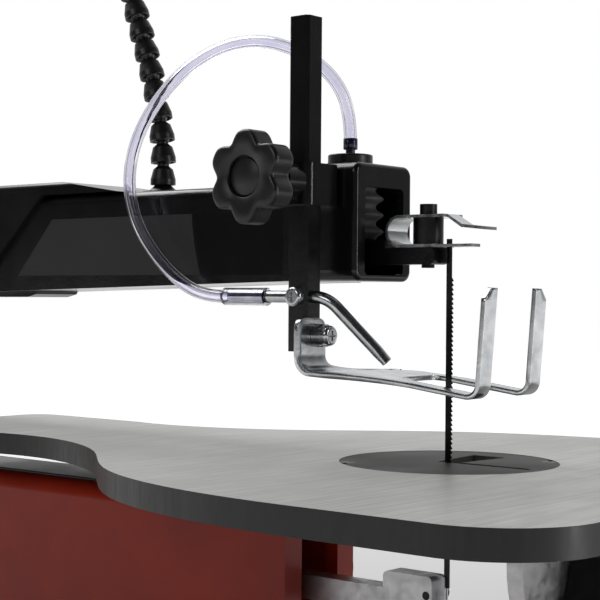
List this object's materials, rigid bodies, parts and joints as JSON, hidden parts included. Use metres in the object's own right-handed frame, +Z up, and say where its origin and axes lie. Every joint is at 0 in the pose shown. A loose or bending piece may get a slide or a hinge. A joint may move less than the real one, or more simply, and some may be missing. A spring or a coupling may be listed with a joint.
{
  "type": "scroll saw",
  "caption": "Bench scroll saw with a tilting cast table, parallel rocker arms, hold-down foot, air blower hose and a jointed lamp.",
  "frame": {"origin": "centre of the four bench bolt holes, on the underside of the base", "axes": "+Z up, +Y to the saw's rear (-Y faces the operator), +X to the saw's right"},
  "size_m": [0.254, 0.631, 0.4942],
  "materials": {
    "aluminium": "cast",
    "black_oxide": "black oxide",
    "black_paint": "satin",
    "black_plastic": "satin",
    "bronze": "satin",
    "clear_pvc": "clear",
    "gloss_black": "gloss",
    "insert_steel": "matte",
    "label_grey": "matte",
    "orange_paint": "satin",
    "red_plastic": "gloss",
    "rubber": "matte",
    "steel": "satin",
    "table_iron": "ground",
    "zinc": "zinc plated"
  },
  "bodies": {
    "root": {"base": "orange_paint", "c_frame": "orange_paint", "side_cover": "black_paint", "housing_screws": "black_oxide", "dust_port": "black_plastic", "cord_gland": "black_plastic", "arm_housing_left": "black_paint", "arm_housing_right": "black_paint", "arm_rear_cover": "black_paint", "arm_labels": "label_grey", "arm_gloss_panels": "gloss_black", "pivot_pins": "steel", "motor_flange": "aluminium", "motor_can": "black_paint", "motor_end_cover": "black_plastic", "motor_bearings": "steel", "stator": "steel", "table_post": "black_paint", "tilt_pins": "steel", "foot_clamp": "black_paint", "bellows": "rubber", "bellows_cap": "black_plastic", "air_hose": "clear_pvc", "control_box": "black_plastic", "lamp_base": "black_plastic"},
    "upper_arm": {"upper_rocker_arm": "black_paint", "upper_bushing": "bronze", "upper_grip_screw": "black_oxide", "blade_clamp_plate": "zinc", "blade_clamp_screw": "black_oxide"},
    "lower_arm": {"lower_rocker_arm": "aluminium", "lower_bushing": "bronze", "lower_grip_screw": "black_oxide", "rocker_pin": "steel"},
    "saw_blade": {"blade": "black_oxide"},
    "tension": {"tension_rod": "steel", "tension_spring": "steel"},
    "tension_control": {"tension_knob": "black_plastic"},
    "con_rod": {"connecting_rod": "aluminium"},
    "drive": {"crank": "steel", "motor_shaft": "steel", "rotor_and_fan": "aluminium"},
    "tilting_table": {"table": "table_iron", "table_insert": "insert_steel", "insert_screws": "black_oxide", "trunnions": "aluminium"},
    "tilt_lock": {"tilt_lock_knob": "black_plastic"},
    "foot_lock": {"foot_lock_knob": "black_plastic"},
    "foot_post": {"foot_rod": "black_paint", "blower_pipe": "zinc", "blower_screw": "zinc", "hose_sleeve": "clear_pvc"},
    "foot": {"foot_fork": "zinc", "foot_screw": "zinc"},
    "dial": {"speed_dial": "black_plastic"},
    "switch": {"power_switch": "red_plastic"},
    "neck_low": {"lamp_neck_1": "black_plastic"},
    "neck_middle": {"lamp_neck_2": "black_plastic"},
    "neck_high": {"lamp_neck_3": "black_plastic"},
    "lamp": {"lamp_head": "black_plastic"}
  },
  "joints": [
    {"name": "lower_arm_swing", "type": "hinge", "parent": "root", "child": "lower_arm", "pos_m": [0, 0.22, 0.162], "axis": [1, 0, 0], "range_deg": [-1.52, 0.4]},
    {"name": "upper_arm_swing", "type": "hinge", "parent": "root", "child": "upper_arm", "pos_m": [0, 0.22, 0.2914], "axis": [1, 0, 0], "range_deg": [-1.52, 0.4], "deforming": ["bellows"]},
    {"name": "blade_stroke", "type": "slide", "parent": "root", "child": "saw_blade", "axis": [0, 0, 1], "range_m": [-0.0031, 0.0114]},
    {"name": "tension_rod_travel", "type": "slide", "parent": "root", "child": "tension", "axis": [0, 0, 1], "range_m": [-0.0011, 0.0004]},
    {"name": "tension_knob_turn", "type": "hinge", "parent": "tension", "child": "tension_control", "pos_m": [0, 0.257, 0.327], "axis": [0, 0, 1], "range_deg": [-360, 360]},
    {"name": "con_rod_travel", "type": "slide", "parent": "root", "child": "con_rod", "axis": [0, 0, 1], "range_m": [-0.0008, 0.0027]},
    {"name": "motor_spin", "type": "hinge", "parent": "root", "child": "drive", "pos_m": [0.012, 0.125, 0.087], "axis": [1, 0, 0], "continuous": true},
    {"name": "table_tilt", "type": "hinge", "parent": "root", "child": "tilting_table", "pos_m": [0, -0.205, 0.189], "axis": [0, -1, 0], "range_deg": [0, 45]},
    {"name": "tilt_lock_turn", "type": "hinge", "parent": "root", "child": "tilt_lock", "pos_m": [0, -0.29, 0.158], "axis": [0, -1, 0], "range_deg": [-60, 60]},
    {"name": "foot_lock_turn", "type": "hinge", "parent": "root", "child": "foot_lock", "pos_m": [-0.059, -0.161, 0.3165], "axis": [-1, 0, 0], "range_deg": [-180, 180]},
    {"name": "foot_height", "type": "slide", "parent": "root", "child": "foot_post", "axis": [0, 0, 1], "range_m": [-0.018, 0], "deforming": ["air_hose"]},
    {"name": "foot_tilt", "type": "hinge", "parent": "foot_post", "child": "foot", "pos_m": [-0.03, -0.168, 0.2605], "axis": [0, -1, 0], "range_deg": [0, 45]},
    {"name": "speed_dial_turn", "type": "hinge", "parent": "root", "child": "dial", "pos_m": [0.06, -0.26812, 0.06183], "axis": [0, -0.824, 0.5665], "range_deg": [-140, 140]},
    {"name": "switch_rock", "type": "hinge", "parent": "root", "child": "switch", "pos_m": [0.089, -0.26235, 0.05787], "axis": [1, 0, 0], "range_deg": [-10, 0]},
    {"name": "neck_bend", "type": "hinge", "parent": "root", "child": "neck_low", "pos_m": [0.012, -0.045, 0.3246], "axis": [1, 0, 0], "range_deg": [-10, 10]},
    {"name": "neck_bend_2", "type": "hinge", "parent": "neck_low", "child": "neck_middle", "pos_m": [0.012, -0.02769, 0.39966], "axis": [1, 0, 0], "range_deg": [-10, 10]},
    {"name": "neck_bend_3", "type": "hinge", "parent": "neck_middle", "child": "neck_high", "pos_m": [0.012, -0.03012, 0.47323], "axis": [1, 0, 0], "range_deg": [-10, 10]},
    {"name": "lamp_swivel", "type": "hinge", "parent": "neck_high", "child": "lamp", "pos_m": [0.012, -0.09908, 0.47323], "axis": [1, 0, 0], "range_deg": [-10, 10]}
  ],
  "couplings": [
    {"joint": "upper_arm_swing", "follows": "lower_arm_swing", "ratio": 1},
    {"joint": "blade_stroke", "follows": "lower_arm_swing", "m_per_rad": -0.425},
    {"joint": "tension_rod_travel", "follows": "lower_arm_swing", "m_per_rad": 0.037},
    {"joint": "con_rod_travel", "follows": "lower_arm_swing", "m_per_rad": -0.095},
    {"joint": "foot_tilt", "follows": "table_tilt", "ratio": 1},
    {"joint": "neck_bend_2", "follows": "neck_bend", "ratio": 1},
    {"joint": "neck_bend_3", "follows": "neck_bend", "ratio": 1}
  ]
}
